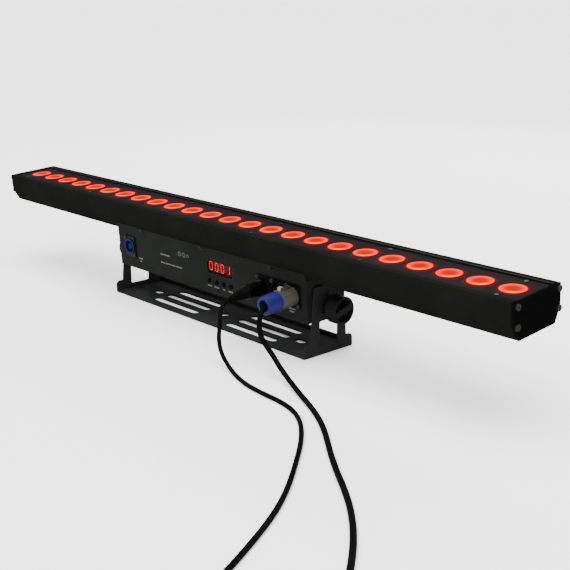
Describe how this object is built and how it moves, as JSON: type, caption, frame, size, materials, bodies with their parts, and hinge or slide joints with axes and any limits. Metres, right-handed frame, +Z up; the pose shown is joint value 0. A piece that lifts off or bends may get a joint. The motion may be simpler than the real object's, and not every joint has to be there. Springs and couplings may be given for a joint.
{
  "type": "led strip batten",
  "caption": "Stage wash bar: a long row of LED lenses over a control box with display and sockets, on a tilting yoke with two hand knobs and two plugged-in leads.",
  "frame": {"origin": "centre of the yoke base plate's centre hole, on the underside that stands on the floor", "axes": "+X along the batten towards the end with the plugged-in leads, +Y towards its back, +Z up"},
  "size_m": [1.2134, 0.5491, 0.1464],
  "materials": {
    "black_anodised": "satin black anodised",
    "plate_black": "satin black anodised",
    "black_sheet": "satin black powder coat",
    "black_screw": "black oxide",
    "bright_screw": "zinc plated",
    "lens_clear": "polished clear acrylic",
    "holder_black": "matt",
    "board_white": "solder mask",
    "board_green": "solder mask",
    "emitter": "silicone dome",
    "gasket": "matt",
    "window_clear": "polished tinted",
    "display_black": "matt",
    "button_black": "satin",
    "supply_case": "plain",
    "wire": "satin",
    "socket_black": "satin",
    "plug_black": "satin",
    "boot_black": "matt",
    "plug_grey": "satin",
    "plug_blue": "satin",
    "latch_cream": "satin",
    "latch_grey": "satin",
    "cord_black": "matt",
    "tie_black": "woven hook-and-loop",
    "knob_black": "satin",
    "stud_steel": "zinc plated",
    "washer_black": "nylon"
  },
  "bodies": {
    "bracket": {"yoke_bracket": "black_sheet", "index_screws": "bright_screw", "knob_washers": "washer_black", "dmx_cord": "cord_black", "dmx_coil": "cord_black", "dmx_far_plug": "plug_black", "dmx_far_boot": "boot_black", "power_cord": "cord_black", "power_coil": "cord_black", "power_far_plug": "plug_grey", "power_far_bushing": "plug_blue", "coil_ties": "tie_black"},
    "head": {"board_standoffs": "bright_screw", "box_mount_screws": "black_screw", "button_switches": "socket_black", "control_board": "board_green", "control_box_shell": "black_sheet", "display_module": "display_black", "display_window": "window_clear", "dmx_in_socket": "socket_black", "dmx_out_socket": "socket_black", "dmx_plug_boot": "boot_black", "dmx_plug_shell": "plug_black", "end_cap_left": "black_sheet", "end_cap_right": "black_sheet", "end_cap_screws": "black_screw", "end_gaskets": "gasket", "friction_washers": "washer_black", "housing_extrusion": "black_anodised", "led_board_links": "socket_black", "led_boards": "board_white", "led_emitters": "emitter", "led_supply_leads": "wire", "lens_holders": "holder_black", "lens_optics": "lens_clear", "lens_plate": "plate_black", "lens_plate_screws": "black_screw", "mains_leads": "wire", "pivot_inserts": "bright_screw", "power_in_socket": "socket_black", "power_out_socket": "socket_black", "power_plug_body": "plug_grey", "power_plug_bushing": "plug_blue", "power_supply": "supply_case", "rear_cover": "black_sheet", "rear_cover_screws": "black_screw", "socket_screws": "bright_screw", "wire_grommets": "gasket"},
    "knob_left": {"tilt_knob_left": "knob_black", "knob_stud_left": "stud_steel"},
    "knob_right": {"tilt_knob_right": "knob_black", "knob_stud_right": "stud_steel"},
    "button_a": {"button_1": "button_black"},
    "button_b": {"button_2": "button_black"},
    "button_c": {"button_3": "button_black"},
    "button_d": {"button_4": "button_black"},
    "release_tab": {"dmx_release_tab": "button_black"},
    "dmx_latch": {"dmx_plug_latch": "latch_grey"},
    "power_latch": {"power_plug_latch": "latch_cream"}
  },
  "joints": [
    {"name": "tilt", "type": "hinge", "parent": "bracket", "child": "head", "pos_m": [0, 0, 0.06], "axis": [1, 0, 0], "range_deg": [-90, 30], "deforming": ["dmx_cord", "power_cord"]},
    {"name": "knob_left_turn", "type": "hinge", "parent": "head", "child": "knob_left", "pos_m": [-0.2124, 0, 0.06], "axis": [-1, 0, 0], "range_deg": [0, 450]},
    {"name": "knob_right_turn", "type": "hinge", "parent": "head", "child": "knob_right", "pos_m": [0.2124, 0, 0.06], "axis": [1, 0, 0], "range_deg": [0, 450]},
    {"name": "button_1_press", "type": "slide", "parent": "head", "child": "button_a", "axis": [0, 0.9972, 0.075], "range_m": [0, 0.0007], "stiffness_N_per_m": 2000},
    {"name": "button_2_press", "type": "slide", "parent": "head", "child": "button_b", "axis": [0, 0.9972, 0.075], "range_m": [0, 0.0007], "stiffness_N_per_m": 2000},
    {"name": "button_3_press", "type": "slide", "parent": "head", "child": "button_c", "axis": [0, 0.9972, 0.075], "range_m": [0, 0.0007], "stiffness_N_per_m": 2000},
    {"name": "button_4_press", "type": "slide", "parent": "head", "child": "button_d", "axis": [0, 0.9972, 0.075], "range_m": [0, 0.0007], "stiffness_N_per_m": 2000},
    {"name": "release_tab_press", "type": "slide", "parent": "head", "child": "release_tab", "axis": [0, 0.9972, 0.075], "range_m": [0, 0.0012], "stiffness_N_per_m": 2000},
    {"name": "dmx_latch_press", "type": "slide", "parent": "head", "child": "dmx_latch", "axis": [0, 0.075, -0.9972], "range_m": [0, 0.0008], "stiffness_N_per_m": 2000},
    {"name": "power_latch_slide", "type": "slide", "parent": "head", "child": "power_latch", "axis": [0, -0.9972, -0.075], "range_m": [0, 0.0025], "stiffness_N_per_m": 800}
  ]
}
